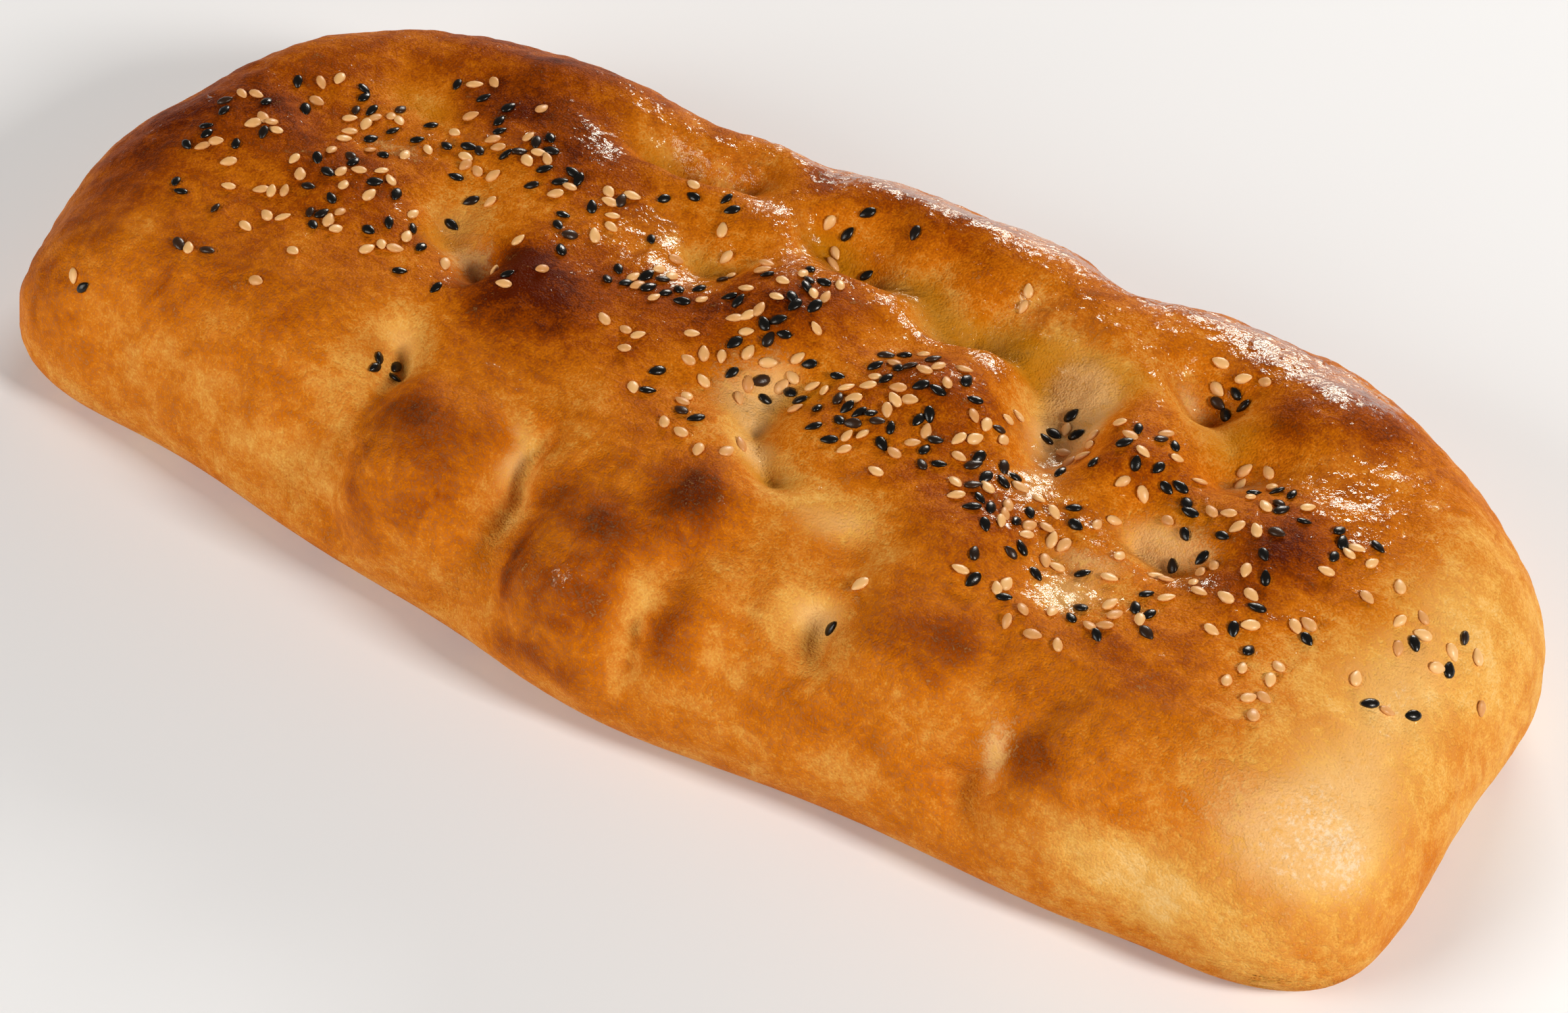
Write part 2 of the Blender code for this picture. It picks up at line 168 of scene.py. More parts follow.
# Ripples and pimples of the baked skin: size of a wave and its height
RIPPLE_SIZE = 10 * MM
RIPPLE_HEIGHT = 0.50 * MM
PIMPLE_SIZE = 3.4 * MM
PIMPLE_HEIGHT = 0.22 * MM
PIMPLE_SHIFT = 1.0  # takes the pimples from another part of the noise

# How presses and pillows wander off their plain round shapes: size of a wave and its reach, and
# where in the noise the waves along X, Y and Z begin
WANDER_SIZE = 15 * MM
WANDER_REACH = 4 * MM
WANDER_STARTS = (Vector((0.5, 3.7, 8.1)), Vector((31.3, 5.9, 2.4)), Vector((7.6, 42.2, 19.8)))

# Browning, from below 0 for straw to 1 for scorched
TOP_BROWNING = 0.49
SIDE_PALING = 0.18  # what the side loses down to the table
FOOT_PAINTED_SHADE = 0.16  # painted shade that darkens the foot of the side where it lies on the table
FOOT_HEIGHT = 9 * MM
RAISED_BROWNING = 0.02  # gain for each millimetre that a pillow stands out
RAISED_RANGE = (-5, 4)  # millimetres past which it makes no more difference
UNDERSIDE_BROWNING = 0.30
TONE_STRENGTH = 1.12

# Where the crust browned more or, below zero, less: x, y, half length, half width, browning
TONES = (
    (-105, -2, 36, 17, 0.16),
    (-88, 31, 26, 10, 0.36),
    (-128, 22, 12, 12, 0.10),
    (-98, 50, 34, 10, 0.30),
    (-60, 22, 16, 8, 0.22),
    (-54, -14, 14, 12, 0.48),
    (-40, -20, 8, 9, 0.16),
    (-50, -28, 11, 7, 0.18),
    (-52, -54, 12, 4.5, 0.34),
    (-47, -64, 14, 10, 0.14),
    (-27, -4, 13, 7, 0.26),
    (-8, 7, 13, 10, 0.34),
    (10, -46, 10, 8, 0.36),
    (-14, -54, 9, 6, 0.14),
    (-8, -57, 11, 3.5, 0.36),
    (-18, -68, 4, 9, 0.40),
    (-3, -68, 8, 6, 0.28),
    (-10, -76, 9, 4, 0.34),
    (66, -68, 24, 5, 0.10),
    (94, -70, 14, 4, 0.12),
    (17, -68, 4.5, 8, 0.26),
    (31, 1, 16, 10, 0.24),
    (57, -20, 12, 12, 0.24),
    (57, -50, 16, 6, 0.10),
    (68, -46, 8, 4, 0.14),
    (90, -62, 7, 8, 0.28),
    (72, 10, 13, 9, 0.16),
    (111, -1, 16, 12, 0.34),
    (104, -14, 9, 7, 0.14),
    (92, 36, 6, 8, 0.26),
    (106, 42, 11, 8, 0.36),
    (6, 46, 16, 6, 0.18),
    (-22, 47, 8, 6, 0.22),
    (80, 50, 10, 8, 0.10),
    # The next two entries darken the left end: partly it browned more, partly this is painted shade
    # on the end away from the key light.
    (-142, -24, 16, 28, 0.26),
    (-148, 10, 12, 24, 0.16),
    (-95, -44, 9, 5, 0.10),
    (-118, -46, 6, 16, 0.08),
    (-140, -58, 14, 10, 0.14),
    (-124, 0, 12, 10, 0.10),
    (53, -60, 10, 5, -0.10),
    (-75, -3, 11, 7, -0.26),
    (-66, -38, 9, 7, -0.26),
    (-76, -52, 12, 7, -0.08),
    (-38, -45, 7, 4, -0.20),
    (-31, -52, 4, 8, -0.24),
    (-27, -60, 4, 9, -0.20),
    (-68, -56, 5, 10, -0.16),
    (-29, 15, 10, 6, -0.22),
    (2, -15, 6, 12, -0.34),
    (10, -29, 10, 5, -0.28),
    (-107, 24, 9, 6, -0.20),
    (31, -36, 14, 8, -0.30),
    (41, -54, 8, 7, -0.24),
    (8, -66, 3, 9, -0.34),
    (22, 28, 32, 6, -0.22),
    (52, 20, 6, 11, -0.28),
    (88, -4, 10, 8, -0.26),
    (80, -28, 10, 7, -0.18),
    (78, 30, 9, 6, -0.16),
    (-55, 38, 12, 6, -0.18),
    (150, 4, 17, 60, -0.30),
    (132, -24, 22, 32, -0.16),
    (104, -38, 16, 7, 0.10),
    # The next entry makes the near right corner paler, partly as a painted highlight of light from
    # the right.
    (150, -48, 12, 12, -0.24),
    (116, -66, 24, 8, -0.38),
    (30, -58, 16, 7, -0.10),
    (-100, -60, 50, 10, -0.08),
    (-24, -32, 12, 6, -0.08),
)

# Largest share of bare dough, so that some baked skin always shows through
BAREST = 0.9

# Stretched dough that stayed pale at the bottom of the presses: x, y, half length, half width, share
BARE_DOUGH = (
    (-70, -10, 6, 5, 0.90),
    (-67, -40, 5, 4, 0.60),
    (-35, -48, 3, 3, 0.60),
    (-32, -54, 2, 5, 0.9),
    (-1, -12, 6, 8, 1.1),
    (5, -19, 4, 4, 0.8),
    (9, -28, 6, 4, 1.0),
    (35, -37, 6, 5, 0.66),
    (25, -36, 6, 3, 0.35),
    (54, 15, 5, 9, 1.2),
    (52, 26, 5, 6, 0.90),
    (89, -5, 9, 5, 1.2),
    (80, -27, 8, 5, 0.80),
    (78, -18, 9, 4, 0.70),
    (41, -55, 5, 5, 0.85),
    (82, -62, 2.5, 8, 0.85),
    (60, -3, 5, 7, 0.75),
    (-77, -3, 5, 3, 0.45),
    # The next entry whitens the near right corner: pale dough, and partly a painted highlight of
    # light from the right.
    (148, -46, 13, 16, 0.85),
    (132, -54, 16, 10, 0.60),
    (144, -12, 12, 32, 0.60),
    (114, -66, 20, 6, 0.26),
    (92, 22, 5, 4, 0.55),
    (71, 38, 4, 4, 0.75),
    (-100, 6, 7, 3, 0.50),
)

# Oily yellow hollows and the yellow right end: x, y, half length, half width, share
OILED = (
    (22, 29, 28, 5, 0.95),
    (44, 25, 11, 6, 0.95),
    (-9, 32, 7, 5, 0.80),
    (-55, 37, 10, 6, 0.75),
    (-28, 14, 9, 5, 0.70),
    (-106, 23, 12, 5, 0.65),
    (-76, -9, 8, 6, 0.70),
    (14, -31, 8, 4, 0.80),
    (84, 28, 10, 8, 0.70),
    (12, -8, 5, 8, 0.60),
    (132, -2, 14, 26, 0.35),
    (92, 4, 9, 7, 0.45),
    (60, 30, 9, 6, 0.40),
    (100, -18, 10, 5, 0.30),
)

# Flour on the foot of the side and on the underside
FOOT_FLOUR = 0.42
UNDERSIDE_FLOUR = 0.06

# Where flour still clings to the side: x, y, half length, half width, share
FLOURED = (
    (-88, -66, 15, 3, 0.50),
    (-66, -64, 4, 7, 0.36),
    (-44, -68, 12, 8, 0.36),
    (-22, -74, 8, 4, 0.26),
    (-7, -69, 8, 6, 0.32),
    (30, -72, 16, 3, 0.24),
    (140, -64, 18, 5, 0.32),
    (152, -50, 6, 10, 0.28),
    (142, -52, 16, 14, 0.50),
    (146, -18, 9, 24, 0.46),
)

# Egg wash: brushed thinly over what faces up, and less of it towards the near side
THIN_WASH = 0.26
THICK_WASH = 0.9
WASHED_SLOPE = (0.25, 0.75)  # Z of the normal where the wash begins and where it is full
WASHED_WIDTH = (-62 * MM, -22 * MM)  # Y between which it grows to full
LEAST_WASHED = 0.15
LEAST_DRY = 0.1

# Where the egg wash lies thick and glitters: x, y, half length, half width, share
GLAZED = (
    (-90, 12, 16, 8, 0.25),
    (-46, 4, 10, 7, 0.45),
    (-14, 18, 12, 6, 0.4),
    (30, 4, 14, 7, 0.3),
    (74, -8, 8, 8, 0.5),
    (-42, 14, 9, 4, 0.9),
    (-29, 6, 9, 4, 1.0),
    (-24, 33, 10, 4, 0.7),
    (-4, 27, 12, 4, 0.9),
    (15, 21, 12, 4, 0.9),
    (37, 18, 9, 3, 0.9),
    (60, -6, 7, 7, 1.0),
    (79, -28, 7, 5, 1.0),
    (112, 27, 10, 9, 0.9),
    (17, -46, 4, 3, 0.25),
    (52, 8, 6, 3, 0.9),
    (40, 37, 12, 4, 0.8),
    (65, 36, 7, 6, 0.6),
    (97, 47, 10, 5, 0.9),
    (-84, 20, 9, 4, 0.5),
    (-66, 28, 8, 4, 0.5),
    (-58, 42, 10, 4, 0.8),
    (-42, 43, 7, 4, 0.8),
    (5, 54, 40, 9, 0.9),
    (82, 54, 22, 8, 0.9),
    (97, -13, 8, 3, 0.8),
    (118, -13, 6, 3, 0.7),
    (118, 14, 8, 3, 0.6),
    (66, -20, 8, 3, 0.7),
    (-40, -38, 8, 4, 0.35),
    (-3, -67, 8, 6, 0.62),
    (30, 27, 14, 5, 0.45),
)

# How deep the fine bumps of the skin go
SKIN_DEPTH = 0.7 * MM

# Shape of a seed
SEED_TAPER = 0.75  # share of the width that the pointed end loses
TAPER_START = 0.05  # how far behind the middle the taper begins, as a share of the length
TAPER_POWER = 1.2
SEED_BELLY = 1.08  # makes up for the width that the taper takes off
SEED_SIZES = (0.9, 1.12)  # smallest and largest seed, as shares of the full size
SEED_WIDTHS = (0.94, 1.06)
SEED_THICKNESSES = (0.92, 1.08)

# How the seeds fall
STREWING = 7  # start of the random draws for their places
TILTING = 11  # start of the random draws for their tilts and tones
TRIES = 60  # how often a seed looks for a free place before it is left out
DROP_HEIGHT = 100 * MM
LEAN_SPREAD = 0.16  # spread of the tilt to a side and to an end, in radians
PITCH_SPREAD = 0.12

# Sesame: x, y, half length, half width, pale seeds, black seeds
SEED_PATCHES = (
    (-131, -8, 10, 12, 9, 8),
    (-122, 11, 9, 8, 4, 4),
    (-107, 10, 12, 9, 9, 8),
    (-103, -8, 12, 9, 8, 7),
    (-105, -21, 11, 6, 7, 3),
    (-90, -16, 9, 10, 6, 4),
    (-90, 16, 11, 8, 6, 6),
    (-92, 30, 12, 5, 3, 3),
    (-76, 15, 10, 9, 5, 6),
    (-78, 3, 9, 7, 2, 3),
    (-75, -22, 12, 6, 2, 3),
    (-57, 12, 10, 12, 6, 8),
    (-56, -12, 10, 10, 4, 2),
    (-40, 3, 11, 9, 5, 5),
    (-37, 24, 12, 5, 1, 4),
    (-29, 0, 8, 5, 4, 6),
    (-24, 16, 9, 8, 5, 1),
    (-9, 11, 12, 10, 7, 9),
    (-8, 2, 8, 6, 3, 5),
    (-24, -14, 12, 10, 6, 1),
    (-6, -10, 11, 8, 7, 3),
    (-13, -29, 8, 7, 4, 2),
    (4, -6, 10, 10, 5, 3),
    (1, -30, 10, 7, 4, 1),
    (13, -8, 9, 8, 4, 5),
    (27, 6, 11, 8, 5, 9),
    (25, -8, 10, 8, 6, 7),
    (23, -20, 12, 7, 3, 3),
    (37, -8, 10, 10, 8, 4),
    (47, -12, 8, 8, 3, 8),
    (42, 3, 9, 8, 5, 2),
    (54, 13, 7, 8, 4, 4),
    (57, -15, 9, 10, 5, 6),
    (69, 11, 11, 9, 6, 5),
    (80, 7, 9, 9, 3, 4),
    (68, -6, 11, 10, 6, 4),
    (69, -21, 11, 8, 6, 5),
    (64, -36, 7, 5, 3, 3),
    (79, -37, 10, 6, 6, 1),
    (99, 13, 5, 6, 3, 5),
    (93, -3, 9, 8, 4, 5),
    (103, -6, 8, 11, 8, 3),
    (88, -20, 10, 8, 5, 2),
    (91, -31, 8, 6, 4, 4),
    (114, 9, 12, 9, 5, 5),
    (118, -20, 12, 10, 6, 4),
    (120, -32, 7, 7, 5, 0),
    (134, 1, 10, 12, 7, 1),
    (140, -15, 8, 8, 2, 2),
    (147, 2, 6, 9, 3, 2),
    (76, 41, 7, 5, 4, 4),
    (92, 22, 4, 2, 3, 0),
    (-66, -44, 2.5, 3, 1, 4),
    (-5, 36, 16, 9, 3, 4),
    (20, 38, 12, 5, 2, 0),
    (-120, -33, 14, 10, 3, 5),
    (-97, -38, 8, 6, 2, 0),
    (-138, -50, 5, 6, 1, 1),
    (44, -55, 2, 3, 0, 1),
    (44, -44, 3, 3, 1, 0),
)

# The floor lies this much below the loaf, so that the two faces don't coincide
FLOOR_GAP = 0.2 * MM
FLOOR_REACH = 4.0

# Lamps: place in metres, and width and height of the soft box
LAMPS = {
    "key_light": ((1.0, -0.1, 0.65), (0.25, 0.25)),
    "back_light": ((-0.3, 1.15, 0.42), (0.55, 0.32)),
    "front_light": ((-0.55, -0.95, 0.55), (0.7, 0.7)),
}
LAMP_AIM = (0.0, 0.0, 30 * MM)
LAMP_COLOUR = (1.0, 0.95, 0.88)
ROOM_COLOUR = (1.0, 0.99, 0.97)

# The camera: how far the middle of the picture lies below and to the left of the loaf's middle
SENSOR_WIDTH = 36
LOAF_MIDDLE_HEIGHT = 20 * MM
PICTURE_DROP = 15.7 * MM
PICTURE_SHIFT = 1.3 * MM


class PideLoafSizes(bpy.types.PropertyGroup):
    """Driving sizes of the loaf"""

    length: FloatProperty(
        name="Length", description="Length of the plain loaf", default=322 * MM,
        unit="LENGTH", subtype="DISTANCE",
    )
    width: FloatProperty(
        name="Width", description="Width of the plain loaf", default=140.5 * MM,
        unit="LENGTH", subtype="DISTANCE",
    )
    top_height: FloatProperty(
        name="Height", description="Height of the plain top above the table", default=42.5 * MM,
        unit="LENGTH", subtype="DISTANCE",
    )
    crown: FloatProperty(
        name="Crown", description="How much the middle stands above the border", default=2 * MM,
        unit="LENGTH", subtype="DISTANCE",
    )
    end_slope: FloatProperty(
        name="End slope", description="Share of the height that the ends lose", default=0.07
    )
    rim_height: FloatProperty(
        name="Rim height", description="Height at which the side bulges furthest", default=12 * MM,
        unit="LENGTH", subtype="DISTANCE",
    )
    far_shoulder: FloatProperty(
        name="Far shoulder", description="Distance over which the far side rounds into the top",
        default=28 * MM, unit="LENGTH", subtype="DISTANCE",
    )
    near_shoulder: FloatProperty(
        name="Near shoulder", description="Distance over which the near side rounds into the top",
        default=37 * MM, unit="LENGTH", subtype="DISTANCE",
    )
    foot: FloatProperty(
        name="Foot", description="How far the underside is drawn in below the rim", default=9 * MM,
        unit="LENGTH", subtype="DISTANCE",
    )
    near_corners: FloatProperty(
        name="Near corners", description="Squareness of the two near corners", default=6.6
    )
    far_corners: FloatProperty(
        name="Far corners", description="Squareness of the two far corners", default=2.75
    )
    cells_long: IntProperty(
        name="Cells along", description="Grid cells over the length of the crust", default=470
    )
    cells_across: IntProperty(
        name="Cells across", description="Grid cells over the width of the crust", default=200
    )


class PideSesameSizes(bpy.types.PropertyGroup):
    """Size of the seeds and how they lie"""

    length: FloatProperty(
        name="Length", description="Full length of a seed", default=3.5 * MM,
        unit="LENGTH", subtype="DISTANCE",
    )
    width: FloatProperty(
        name="Width", description="Full width of a seed", default=2.05 * MM,
        unit="LENGTH", subtype="DISTANCE",
    )
    thickness: FloatProperty(
        name="Thickness", description="Full thickness of a seed", default=1.15 * MM,
        unit="LENGTH", subtype="DISTANCE",
    )
    lift: FloatProperty(
        name="Lift", description="Height of a seed's middle above the crust", default=0.3 * MM,
        unit="LENGTH", subtype="DISTANCE",
    )
    gap: FloatProperty(
        name="Gap", description="Least distance between the middles of two seeds",
        default=2.3 * MM, unit="LENGTH", subtype="DISTANCE",
    )


class PideColours(bpy.types.PropertyGroup):
    """Colours of the crust from pale to dark, and of the seeds"""

    dough: FloatVectorProperty(
        name="Bare dough", description="Dough that stayed pale in a press", subtype="COLOR",
        default=(0.84, 0.53, 0.25),
    )
    straw: FloatVectorProperty(
        name="Straw", description="Crust that hardly browned", subtype="COLOR",
        default=(0.88, 0.56, 0.21),
    )
    golden: FloatVectorProperty(
        name="Golden", description="Lightly browned crust", subtype="COLOR",
        default=(0.78, 0.395, 0.08),
    )
    amber: FloatVectorProperty(
        name="Amber", description="Evenly baked crust", subtype="COLOR",
        default=(0.60, 0.163, 0.004),
    )
    chestnut: FloatVectorProperty(
        name="Chestnut", description="Well browned crust", subtype="COLOR",
        default=(0.31, 0.057, 0.0005),
    )
    scorched: FloatVectorProperty(
        name="Scorched", description="Darkest crust on the humps", subtype="COLOR",
        default=(0.085, 0.008, 0.0003),
    )
    oiled: FloatVectorProperty(
        name="Oiled", description="Yellow crust that soaked up oil", subtype="COLOR",
        default=(0.52, 0.20, 0.003),
    )
    # Light specks of the dry crust: partly its fine grain, partly painted highlights of its satin
    # skin.
    speckle_and_highlight: FloatVectorProperty(
        name="Speckle", description="Fine light grain of the dry crust", subtype="COLOR",
        default=(0.86, 0.52, 0.22),
    )
    flour: FloatVectorProperty(
        name="Flour", description="Flour left on the foot of the side", subtype="COLOR",
        default=(0.86, 0.70, 0.50),
    )
    pale_seed: FloatVectorProperty(
        name="Pale sesame", description="Hulled sesame", subtype="COLOR",
        default=(0.82, 0.47, 0.18),
    )
    black_seed: FloatVectorProperty(
        name="Black sesame", description="Black sesame", subtype="COLOR",
        default=(0.006, 0.005, 0.004),
    )


class PideStage(bpy.types.PropertyGroup):
    """Floor, lights and camera"""

    azimuth: FloatProperty(
        name="Azimuth", description="Direction of view round the loaf",
        default=math.radians(33), unit="ROTATION", subtype="ANGLE",
    )
    elevation: FloatProperty(
        name="Elevation", description="Angle of view above the horizon",
        default=math.radians(44), unit="ROTATION", subtype="ANGLE",
    )
    distance: FloatProperty(
        name="Distance", description="From the camera to the middle of the loaf", default=0.85,
        unit="LENGTH", subtype="DISTANCE",
    )
    lens: FloatProperty(
        name="Lens", description="Focal length in millimetres on a 36 mm sensor", default=97.6
    )
    floor: FloatVectorProperty(
        name="Floor", description="Colour of the floor", subtype="COLOR", default=(0.88, 0.90, 0.94)
    )
    key_light: FloatProperty(
        name="Key light", description="Power of the light at the right end", default=11.0,
        unit="POWER",
    )
    back_light: FloatProperty(
        name="Back light", description="Power of the low light behind the loaf", default=12.0,
        unit="POWER",
    )
    front_light: FloatProperty(
        name="Front light", description="Power of the soft light in front", default=9.8,
        unit="POWER",
    )
    room_light: FloatProperty(
        name="Room light", description="Strength of the light from all round", default=0.09
    )


class Value:
    """A number that varies over a surface: arithmetic on it adds Math nodes."""

    def __init__(self, recipe, socket):
        self.recipe = recipe
        self.socket = socket

    def math(self, operation, first, second):
        return self.recipe.node("ShaderNodeMath", {"operation": operation}, {0: first, 1: second})

    def __add__(self, other):
        return self.math("ADD", self, other)

    def __radd__(self, other):
        return self.math("ADD", other, self)

    def __sub__(self, other):
        return self.math("SUBTRACT", self, other)

    def __rsub__(self, other):
        return self.math("SUBTRACT", other, self)

    def __mul__(self, other):
        return self.math("MULTIPLY", self, other)

    def __rmul__(self, other):
        return self.math("MULTIPLY", other, self)

    def between(self, low, high):
        """0 below low, 1 above high and smooth in between."""
        settings = {"interpolation_type": "SMOOTHSTEP"}
        return self.recipe.node("ShaderNodeMapRange", settings, {0: self, 1: low, 2: high})


class Recipe:
    """A material and the nodes that make its finish."""

    def __init__(self, name, **uniform):
        self.material = bpy.data.materials.new(name)
        self.material.use_nodes = True
        self.nodes = self.material.node_tree.nodes
        self.links = self.material.node_tree.links
        self.shader = self.nodes["Principled BSDF"]
        self.fill(self.shader, uniform)

    def fill(self, node, sockets):
        """Sets a node's sockets to numbers or colours, or links them to what varies."""
        for key, value in sockets.items():
            socket = node.inputs[key.replace("_", " ") if isinstance(key, str) else key]
            if isinstance(value, Value):
                self.links.new(value.socket, socket)
            elif socket.type == "RGBA":
                socket.default_value = (*value, 1.0)
            else:
                socket.default_value = value

    def node(self, kind, settings=None, sockets=None, output=0):
        """Adds a node: its settings first, then its sockets."""
        node = self.nodes.new(kind)
        for key, value in (settings or {}).items():
            if key == "stops":
                self.set_stops(node.color_ramp, value)
            else:
                setattr(node, key, value)
        self.fill(node, sockets or {})
        return Value(self, node.outputs[output])

    def set_stops(self, ramp, stops):
        """Gives a colour ramp its positions and colours."""
        while len(ramp.elements) < len(stops):
            ramp.elements.new(1.0)
        for element, (position, colour) in zip(ramp.elements, stops):
            element.position = position
            element.color = (*colour, 1.0)

    def attribute(self, name):
        """A number stored on the mesh's vertices."""
        return self.node("ShaderNodeAttribute", {"attribute_name": name}, output=2)

    def place(self):
        """The object's own coordinates in metres."""
        return self.node("ShaderNodeTexCoord", output=3)

    def cloud(
        self, size, detail=3.0, roughness=0.55, shift=(0, 0, 0), stretch=(1, 1, 1), distortion=0.0
    ):
        """Soft noise around 0 whose features are about size across."""
        at = self.node(
            "ShaderNodeMapping", {}, {"Vector": self.place(), "Location": shift, "Scale": stretch}
        )
        sockets = {"Vector": at, "Scale": 1 / size, "Detail": detail, "Roughness": roughness}
        sockets["Distortion"] = distortion
        return self.node("ShaderNodeTexNoise", {}, sockets) - 0.5

    def cells(self, size):
        """Distance to the nearest of scattered points, as a share of size."""
        sockets = {"Vector": self.place(), "Scale": 1 / size, "Randomness": 1.0}
        return self.node("ShaderNodeTexVoronoi", {"feature": "SMOOTH_F1"}, sockets)

    def blend(self, share, first, second):
        """Mixes two colours, plain or varying."""
        sockets = {0: share, 6: first, 7: second}
        return self.node("ShaderNodeMix", {"data_type": "RGBA"}, sockets, output=2)

    def bumps(self, height, strength, distance):
        """A normal that follows small heights."""
        sockets = {"Height": height, "Strength": strength, "Distance": distance}
        return self.node("ShaderNodeBump", {}, sockets)

    def glaze_over(self, share, **sockets):
        """Lays a second, wetter finish over the first one."""
        wet = self.node("ShaderNodeBsdfPrincipled", {}, sockets)
        dry = Value(self, self.shader.outputs[0])
        both = self.node("ShaderNodeMixShader", {}, {0: share, 1: dry, 2: wet})
        self.links.new(both.socket, self.nodes["Material Output"].inputs["Surface"])

    def finish(self, **varying):
        """Links what varies over the surface to the first finish and returns the material."""
        self.fill(self.shader, varying)
        return self.material


def crust_patterns(recipe):
    """The patterns of the baked skin by name, from the broad to the fine."""
    return {
        "blotches": recipe.cloud(24 * MM, 4, 0.6, distortion=0.6),
        "mottle": recipe.cloud(8 * MM, 5, 0.62, shift=(3, 1, 2), distortion=0.8),
        "streaks": recipe.cloud(5 * MM, 4, 0.6, shift=(8, 1, 2), stretch=(0.35, 1, 0.6)),
        "pools": recipe.cloud(5 * MM, 3, 0.6, shift=(5, 4, 1)),
        "wrinkles": 1 - recipe.cells(2.6 * MM).between(0.05, 0.6),
        "freckles": recipe.cloud(1.6 * MM, 3, 0.6, shift=(1, 5, 2)),
        "film": recipe.cloud(1.3 * MM, 3, 0.6, shift=(2, 4, 9), distortion=1.0),
        "dust": recipe.cloud(1.1 * MM, 3, 0.7, shift=(7, 2, 4)),
        "grain": recipe.cloud(0.45 * MM, 1, 0.5),
    }


def mixture(patterns, start, **amounts):
    """A start plus an amount of each named pattern."""
    for name, amount in amounts.items():
        start = start + patterns[name] * amount
    return start


def crust_colour(recipe, patterns, colours):
    """Straw to scorched, darker where shade is painted, with oil, bare dough, light specks that are
    partly painted highlights, and flour on it.
    """
    # The ramp begins at a browning of -0.25, so that the palest crust has its own stop.
    # browned also holds the painted shade at the foot and at the left end.
    browned = mixture(
        patterns, recipe.attribute("browning") * 0.8 + 0.2,
        blotches=0.48, mottle=0.52, streaks=0.32, freckles=0.34, grain=0.4,
    )
    stops = (
        (0.0, colours.straw),
        (0.25, colours.golden),
        (0.52, colours.amber),
        (0.76, colours.chestnut),
        (1.0, colours.scorched),
    )
    crust = recipe.node("ShaderNodeValToRGB", {"stops": stops}, {"Fac": browned})
    oil = mixture(patterns, recipe.attribute("oiled"), mottle=0.4)
    crust = recipe.blend(oil.between(0.1, 1.0) * 0.8, crust, colours.oiled)
    blush = mixture(patterns, 0.45, mottle=1.6, streaks=1.0, freckles=2.2, grain=1.0)
    stretched = recipe.blend(blush.between(0.0, 1.1) * 0.8, colours.dough, colours.golden)
    bare = mixture(
        patterns, recipe.attribute("bare"), mottle=1.1, streaks=0.8, freckles=1.1, grain=0.8
    )
    crust = recipe.blend(bare.between(0.25, 1.1) * 0.9, crust, stretched)
    # Light specks on the dry crust: partly its fine light grain, partly painted highlights of its
    # satin skin.
    grain_and_highlight_specks = mixture(patterns, 0.0, freckles=0.5, grain=1.0).between(-0.12, 0.3)
    crust = recipe.blend(grain_and_highlight_specks * recipe.attribute("dry") * 0.12, crust, colours.speckle_and_highlight)
    dusted = mixture(patterns, recipe.attribute("flour"), dust=1.0)
    return recipe.blend(dusted.between(0.48, 0.8) * 0.7, crust, colours.flour)


def crust_finish(colours):
    """Dull browned crust with small patches of egg wash that glisten on it."""
    recipe = Recipe("browned_crust", Specular_IOR_Level=0.02, Specular_Tint=(1.0, 0.5, 0.2))
    patterns = crust_patterns(recipe)
    crust = crust_colour(recipe, patterns, colours)
    washed = mixture(patterns, recipe.attribute("gloss") * 0.7, film=1.1, pools=0.7)
    wet_skin = mixture(patterns, 0.0, mottle=0.7, wrinkles=0.45, freckles=0.7)
    dry_skin = mixture(patterns, 0.0, mottle=0.7, streaks=0.3, freckles=0.5, grain=0.4)
    recipe.glaze_over(
        washed.between(0.36, 0.48), Base_Color=crust, Roughness=0.1, Specular_IOR_Level=0.7,
        Specular_Tint=(0.84, 1.0, 0.84), Normal=recipe.bumps(wet_skin, 1.0, SKIN_DEPTH),
    )
    return recipe.finish(
        Base_Color=crust, Roughness=mixture(patterns, 0.46, mottle=0.2, grain=0.2),
        Normal=recipe.bumps(dry_skin, 1.0, SKIN_DEPTH),
    )


def tinted(colour, factors):
    """A colour with each of its channels times a factor."""
    return tuple(channel * factor for channel, factor in zip(colour, factors))


def pale_sesame_finish(colours):
    """Hulled sesame, toasted a little unevenly."""
    recipe = Recipe("pale_sesame", Specular_IOR_Level=0.4, Coat_Weight=0.15, Coat_Roughness=0.2)
    tone = recipe.attribute("tone")
    toasting = (tone + recipe.cloud(0.9 * MM, 2) * 0.5).between(0.2, 1.3)
    toasted = tinted(colours.pale_seed, (0.72, 0.5, 0.3))
    return recipe.finish(
        Base_Color=recipe.blend(toasting, colours.pale_seed, toasted),
        Roughness=0.42 + tone * 0.12,
        Normal=recipe.bumps(recipe.cloud(0.35 * MM, 2), 0.25, 0.1 * MM),
    )


def black_sesame_finish(colours):
    """Black sesame, shiny with egg wash and here and there a little rusty."""
    recipe = Recipe("black_sesame", Specular_IOR_Level=0.35)
    tone = recipe.attribute("tone")
    rusty = tinted(colours.black_seed, (6.0, 3.0, 1.6))
    return recipe.finish(
        Base_Color=recipe.blend(tone.between(0.75, 1.0), colours.black_seed, rusty),
        Roughness=0.2 + tone * 0.12,
        Normal=recipe.bumps(recipe.cloud(0.4 * MM, 2), 0.4, 0.12 * MM),
    )


